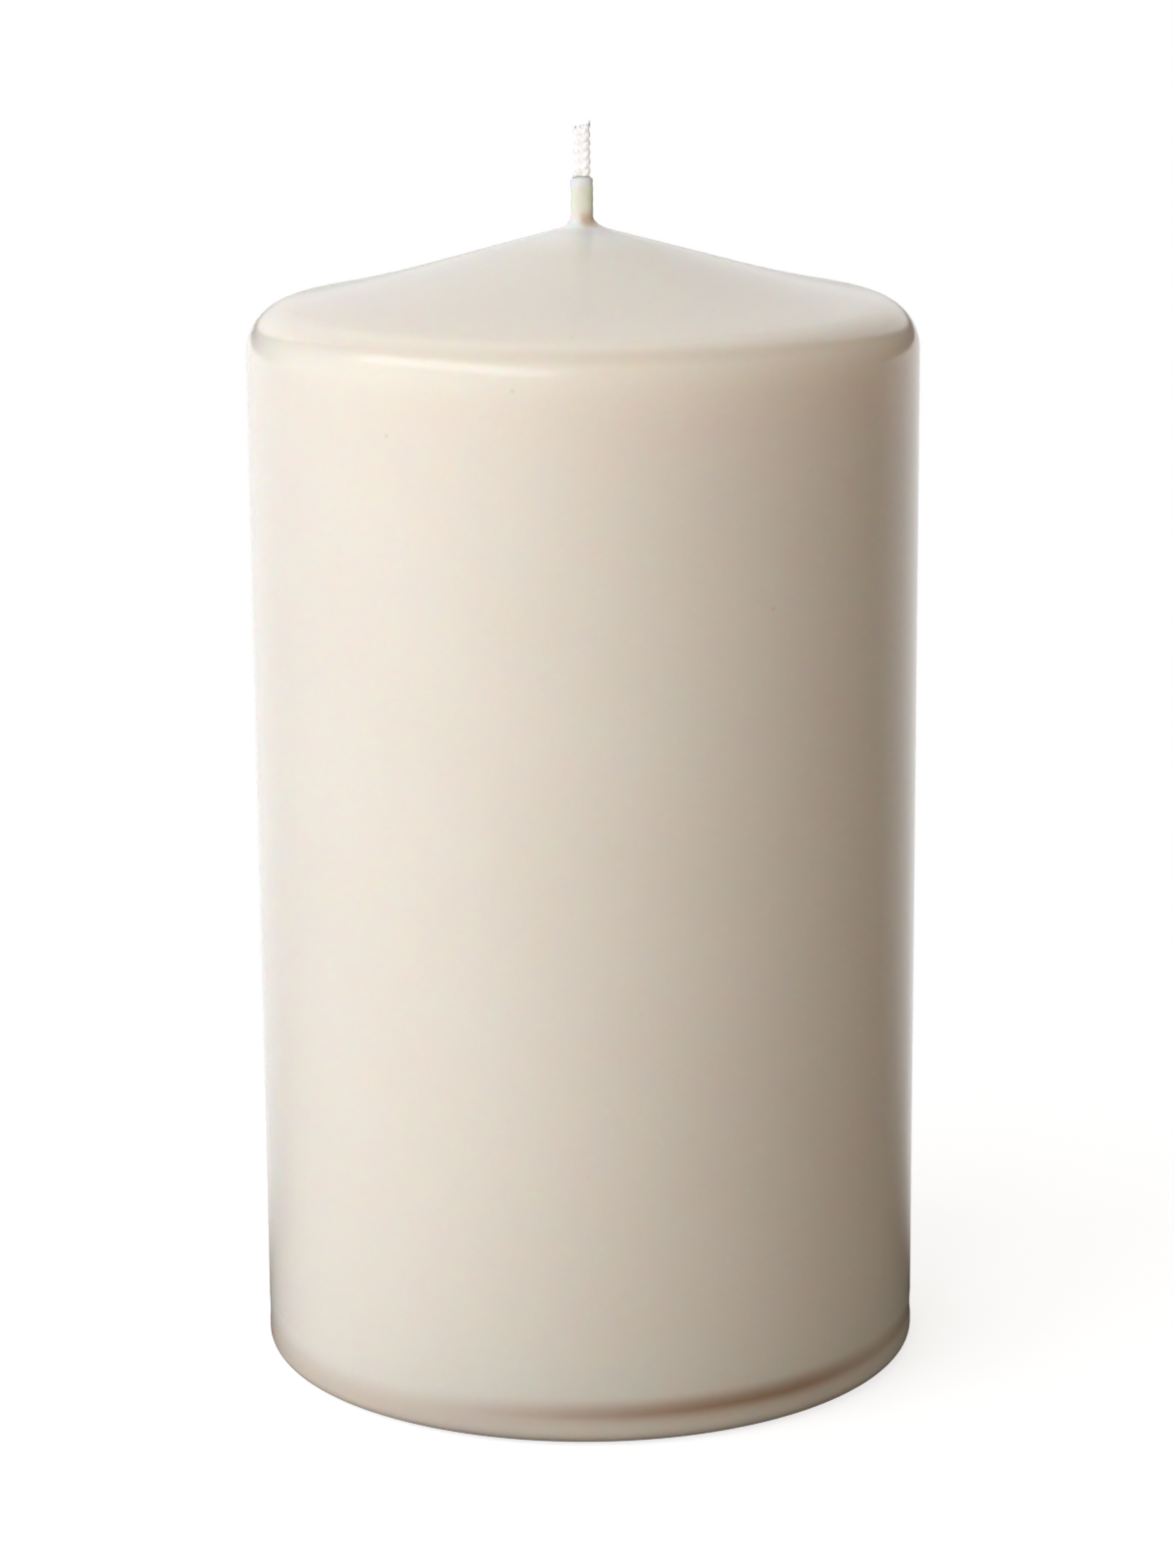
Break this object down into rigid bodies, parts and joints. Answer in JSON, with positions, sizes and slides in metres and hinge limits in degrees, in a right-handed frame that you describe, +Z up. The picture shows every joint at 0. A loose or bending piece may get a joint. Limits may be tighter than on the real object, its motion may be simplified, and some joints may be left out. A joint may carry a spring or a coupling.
{
  "type": "pillar candle",
  "caption": "Unlit round pillar candle: tall wax cylinder with a softly rounded shoulder, a low cone top and a flat plaited cotton wick.",
  "frame": {"origin": "middle of the circle that the candle stands on, at the foot ring's plane", "axes": "+Z up along the candle's axis, out of the wick's end; +X along the wick's broad side; -Y is the side that the picture shows"},
  "size_m": [0.08, 0.08, 0.15],
  "materials": {
    "wax": "ivory cast wax, slightly translucent, satin skin",
    "cotton": "off-white plaited cotton, soaked cream where the wax has climbed it"
  },
  "bodies": {
    "root": {"wax_body": "wax", "wick": "cotton"}
  },
  "joints": []
}
